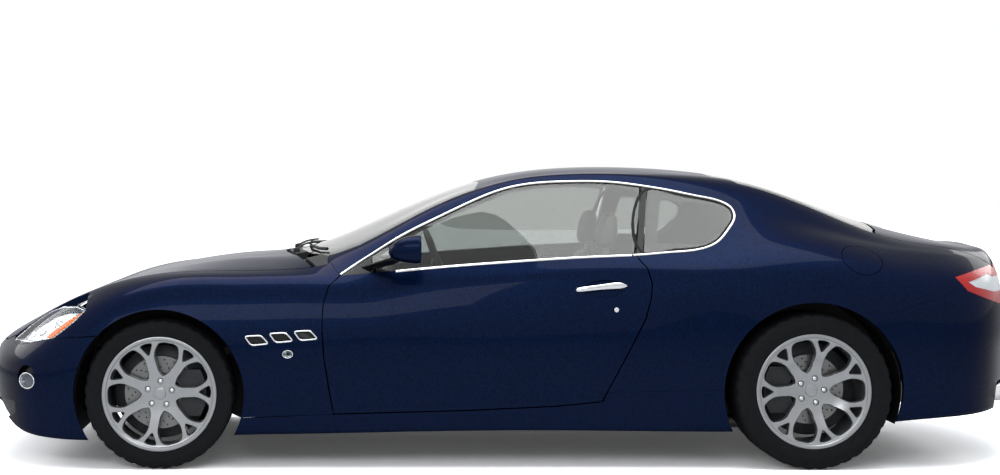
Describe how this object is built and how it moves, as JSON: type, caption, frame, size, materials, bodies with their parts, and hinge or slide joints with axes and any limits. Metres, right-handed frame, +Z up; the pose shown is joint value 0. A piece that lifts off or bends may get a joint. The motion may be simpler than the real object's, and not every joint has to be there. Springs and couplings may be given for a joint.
{
  "type": "coupe car",
  "caption": "Low two-door fixed-roof grand touring car with long hood, 2+2 seats, alloy wheels, opening doors, hood and boot lid, and steered front wheels",
  "frame": {"origin": "on the ground, half way along the length and on the middle plane", "axes": "+X to the tail, +Y to the right side of the car, +Z up"},
  "size_m": [4.879, 2.0542, 1.3657],
  "materials": {
    "paint": "dark blue metallic gloss",
    "tyre_rubber": "matte",
    "rim_alloy": "silver lacquer",
    "disc_steel": "machined",
    "cast_alloy": "as cast",
    "tinted_glass": "clear, lightly tinted",
    "clear_lens": "clear gloss",
    "red_lens": "clear red gloss",
    "bright_chrome": "polished",
    "seat_leather": "light grey",
    "frame_steel": "black primer",
    "black_plastic": "black, fine grain"
  },
  "bodies": {
    "car": {"arch_liners": "black_plastic", "body_side_left": "paint", "body_side_right": "paint", "cowl": "black_plastic", "dashboard": "black_plastic", "engine": "cast_alloy", "exhaust": "bright_chrome", "fender_left": "paint", "fender_right": "paint", "final_drive": "cast_alloy", "floor": "frame_steel", "front_bumper": "paint", "front_frame": "frame_steel", "front_seats": "seat_leather", "front_suspension": "cast_alloy", "fuel_filler": "black_plastic", "grille": "bright_chrome", "headlamps": "clear_lens", "pillar_trim": "black_plastic", "quarter_glass": "tinted_glass", "radiator": "cast_alloy", "rear_bumper": "paint", "rear_frame": "frame_steel", "rear_seats": "seat_leather", "rear_suspension": "cast_alloy", "rear_uprights": "cast_alloy", "rear_window": "tinted_glass", "roof": "paint", "sills": "paint", "tail_lamps": "red_lens", "windscreen": "tinted_glass"},
    "wheel_fl": {"tyre_fl": "tyre_rubber", "rim_fl": "rim_alloy", "brake_disc_fl": "disc_steel"},
    "wheel_fr": {"tyre_fr": "tyre_rubber", "rim_fr": "rim_alloy", "brake_disc_fr": "disc_steel"},
    "wheel_rl": {"tyre_rl": "tyre_rubber", "rim_rl": "rim_alloy", "brake_disc_rl": "disc_steel"},
    "wheel_rr": {"tyre_rr": "tyre_rubber", "rim_rr": "rim_alloy", "brake_disc_rr": "disc_steel"},
    "knuckle_left": {"knuckle_fl": "cast_alloy"},
    "knuckle_right": {"knuckle_fr": "cast_alloy"},
    "door_left": {"door_left": "paint", "door_glass_left": "tinted_glass", "mirror_left": "paint", "door_handle_left": "bright_chrome"},
    "door_right": {"door_right": "paint", "door_glass_right": "tinted_glass", "mirror_right": "paint", "door_handle_right": "bright_chrome"},
    "hood": {"hood": "paint"},
    "boot_lid": {"boot_lid": "paint"},
    "steering_wheel": {"steering_wheel": "black_plastic"},
    "fuel_flap": {"fuel_flap": "paint"}
  },
  "joints": [
    {"name": "steer_left", "type": "hinge", "parent": "car", "child": "knuckle_left", "pos_m": [-1.5675, -0.74, 0.337], "axis": [0, 0, 1], "range_deg": [-33, 33]},
    {"name": "steer_right", "type": "hinge", "parent": "car", "child": "knuckle_right", "pos_m": [-1.5675, 0.74, 0.337], "axis": [0, 0, 1], "range_deg": [-33, 33]},
    {"name": "spin_fl", "type": "hinge", "parent": "knuckle_left", "child": "wheel_fl", "pos_m": [-1.5675, -0.793, 0.337], "axis": [0, 1, 0], "continuous": true},
    {"name": "spin_fr", "type": "hinge", "parent": "knuckle_right", "child": "wheel_fr", "pos_m": [-1.5675, 0.793, 0.337], "axis": [0, 1, 0], "continuous": true},
    {"name": "spin_rl", "type": "hinge", "parent": "car", "child": "wheel_rl", "pos_m": [1.3745, -0.795, 0.351], "axis": [0, 1, 0], "continuous": true},
    {"name": "spin_rr", "type": "hinge", "parent": "car", "child": "wheel_rr", "pos_m": [1.3745, 0.795, 0.351], "axis": [0, 1, 0], "continuous": true},
    {"name": "door_left_hinge", "type": "hinge", "parent": "car", "child": "door_left", "pos_m": [-0.77, -0.897, 0.535], "axis": [0, 0, -1], "range_deg": [0, 64]},
    {"name": "door_right_hinge", "type": "hinge", "parent": "car", "child": "door_right", "pos_m": [-0.77, 0.897, 0.535], "axis": [0, 0, 1], "range_deg": [0, 64]},
    {"name": "hood_hinge", "type": "hinge", "parent": "car", "child": "hood", "pos_m": [-0.895, 0, 0.88], "axis": [0, 1, 0], "range_deg": [0, 58]},
    {"name": "boot_lid_hinge", "type": "hinge", "parent": "car", "child": "boot_lid", "pos_m": [1.69, 0, 1.045], "axis": [0, -1, 0], "range_deg": [0, 62]},
    {"name": "steering_wheel_turn", "type": "hinge", "parent": "car", "child": "steering_wheel", "pos_m": [-0.285, -0.37, 0.885], "axis": [0.9397, 0, 0.342], "range_deg": [-495, 495]},
    {"name": "fuel_flap_hinge", "type": "hinge", "parent": "car", "child": "fuel_flap", "pos_m": [1.55045, -0.84685, 0.9437], "axis": [0, -0.7635, -0.6458], "range_deg": [0, 62]}
  ],
  "couplings": [
    {"joint": "steer_right", "follows": "steer_left", "ratio": 1},
    {"joint": "steering_wheel_turn", "follows": "steer_left", "ratio": 15}
  ]
}
